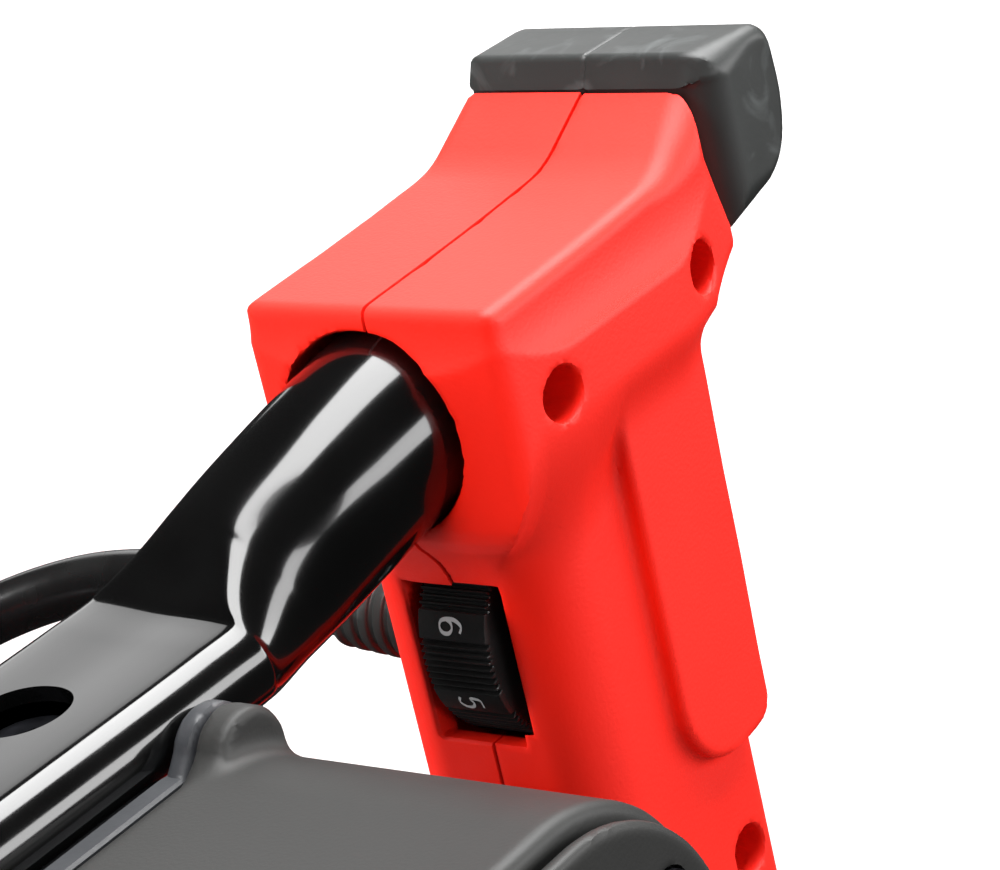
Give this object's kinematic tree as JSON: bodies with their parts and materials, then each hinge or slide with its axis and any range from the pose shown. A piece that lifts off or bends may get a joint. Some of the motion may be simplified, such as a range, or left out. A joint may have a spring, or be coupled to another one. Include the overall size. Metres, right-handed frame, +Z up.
{
  "type": "paddle mixer head",
  "caption": "Hand-held paddle mixer head: upright motor and gearbox between two flattened steel tubes, with a red switch handle and a matching plain handle.",
  "frame": {"origin": "centre of the output spindle's lower end face", "axes": "+Z up the motor's axis, +X towards the front tube and the dial's end of the switch handle, +Y towards the plain handle; the switch handle is at -Y"},
  "size_m": [0.182, 0.3136, 0.192],
  "materials": {
    "red_abs": "satin",
    "black_rubber": "matte",
    "black_plastic": "satin",
    "gloss_black_paint": "gloss",
    "grey_plastic": "matte",
    "cast_metal": "matte",
    "steel": "machined",
    "blackened_steel": "satin",
    "copper": "machined",
    "core_iron": "satin"
  },
  "bodies": {
    "frame": {"front_tube": "gloss_black_paint", "front_tube_bolt_1": "blackened_steel", "front_tube_bolt_2": "blackened_steel", "rear_tube": "gloss_black_paint", "rear_tube_bolt_1": "blackened_steel", "rear_tube_bolt_2": "blackened_steel", "switch_handle_upper_shell": "red_abs", "switch_handle_lower_shell": "red_abs", "switch_handle_front_bumper": "black_rubber", "switch_handle_rear_bumper": "black_rubber", "switch_handle_screw_1": "blackened_steel", "switch_handle_screw_2": "blackened_steel", "switch_handle_screw_3": "blackened_steel", "switch_handle_screw_4": "blackened_steel", "switch_handle_screw_5": "blackened_steel", "dial_potentiometer": "black_plastic", "trigger_pin": "steel", "trigger_spring": "steel", "switch_module": "black_plastic", "handle_cable_boot": "black_rubber", "mains_gland": "black_rubber", "plain_handle_upper_shell": "red_abs", "plain_handle_lower_shell": "red_abs", "plain_handle_front_bumper": "black_rubber", "plain_handle_rear_bumper": "black_rubber", "plain_handle_screw_1": "blackened_steel", "plain_handle_screw_2": "blackened_steel", "plain_handle_screw_3": "blackened_steel", "plain_handle_screw_4": "blackened_steel", "plain_handle_screw_5": "blackened_steel", "motor_housing": "grey_plastic", "tail_cap": "grey_plastic", "bearing_plate": "cast_metal", "gear_case_cover": "cast_metal", "gear_case": "cast_metal", "motor_screw_1": "blackened_steel", "motor_screw_2": "blackened_steel", "motor_screw_3": "blackened_steel", "motor_screw_4": "blackened_steel", "stator": "core_iron", "brush_left": "copper", "brush_right": "copper", "rotor_front_bearing": "steel", "rotor_rear_bearing": "steel", "layshaft_upper_bearing": "steel", "layshaft_lower_bearing": "steel", "spindle_upper_bearing": "steel", "spindle_lower_bearing": "steel", "motor_cable": "black_plastic", "motor_cable_grommet": "black_rubber"},
    "rotor": {"rotor": "core_iron", "commutator": "copper", "fan": "black_plastic"},
    "layshaft": {"layshaft": "steel"},
    "spindle": {"spindle": "steel", "spindle_gear": "steel"},
    "dial": {"speed_dial": "black_plastic"},
    "trigger": {"trigger": "black_plastic"},
    "lock_button": {"lock_button": "black_plastic"}
  },
  "joints": [
    {"name": "rotor_spin", "type": "hinge", "parent": "frame", "child": "rotor", "pos_m": [0, 0, 0], "axis": [0, 0, 1], "continuous": true},
    {"name": "layshaft_spin", "type": "hinge", "parent": "frame", "child": "layshaft", "pos_m": [0, 0.027, 0], "axis": [0, 0, 1], "continuous": true},
    {"name": "spindle_spin", "type": "hinge", "parent": "frame", "child": "spindle", "pos_m": [0, 0, 0], "axis": [0, 0, 1], "continuous": true},
    {"name": "dial_turn", "type": "hinge", "parent": "frame", "child": "dial", "pos_m": [0.028, -0.1052, 0.13], "axis": [0, 0, 1], "range_deg": [-260, 20]},
    {"name": "trigger_pull", "type": "hinge", "parent": "frame", "child": "trigger", "pos_m": [-0.035, -0.0995, 0.13], "axis": [0, 0, -1], "range_deg": [0, 8], "stiffness_Nm_per_rad": 2.5, "springref_deg": -6.88, "deforming": ["trigger_spring"]},
    {"name": "lock_button_press", "type": "slide", "parent": "frame", "child": "lock_button", "axis": [0, 0, 1], "range_m": [0, 0.0023], "stiffness_N_per_m": 800, "springref_m": -0.002}
  ],
  "couplings": [
    {"joint": "layshaft_spin", "follows": "rotor_spin", "ratio": -0.25},
    {"joint": "spindle_spin", "follows": "rotor_spin", "ratio": 0.083333}
  ]
}
